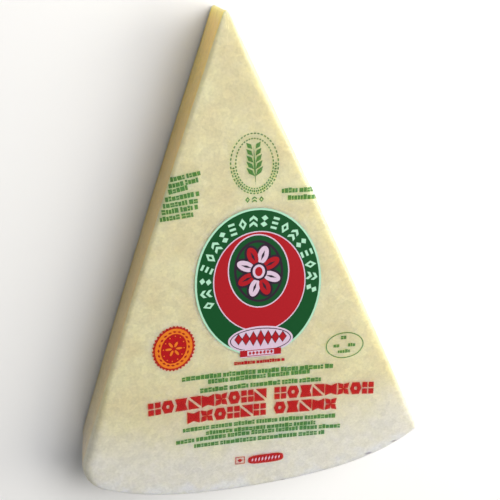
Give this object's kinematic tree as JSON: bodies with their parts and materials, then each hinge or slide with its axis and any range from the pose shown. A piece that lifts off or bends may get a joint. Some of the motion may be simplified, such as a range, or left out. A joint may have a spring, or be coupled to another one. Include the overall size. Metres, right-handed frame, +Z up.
{
  "type": "pecorino romano cheese wedge",
  "caption": "Flat triangular wedge of hard sheep's-milk cheese with a curved rind end, sealed in a skin-tight clear printed film.",
  "frame": {"origin": "middle of the underside of the bounding box, on the surface that the wedge lies on", "axes": "+Z up, out of the printed cut face; +Y along the wedge to its tip; +X to the right as the print reads"},
  "size_m": [0.1184, 0.1632, 0.0242],
  "materials": {
    "cheese": "fine-grained pale straw cheese paste, whiter towards the rind",
    "clear_film": "clear shrink film, skin-tight, softly glossy",
    "green_ink": "dark green printing ink on film",
    "pale_green_ink": "pale green printing ink on film",
    "red_ink": "red printing ink on film",
    "pale_ink": "pale pink and white printing ink on film",
    "orange_ink": "warm orange printing ink on film",
    "dark_ink": "near-black printing ink on film"
  },
  "bodies": {
    "root": {"wrapped_wedge": "cheese"}
  },
  "joints": []
}
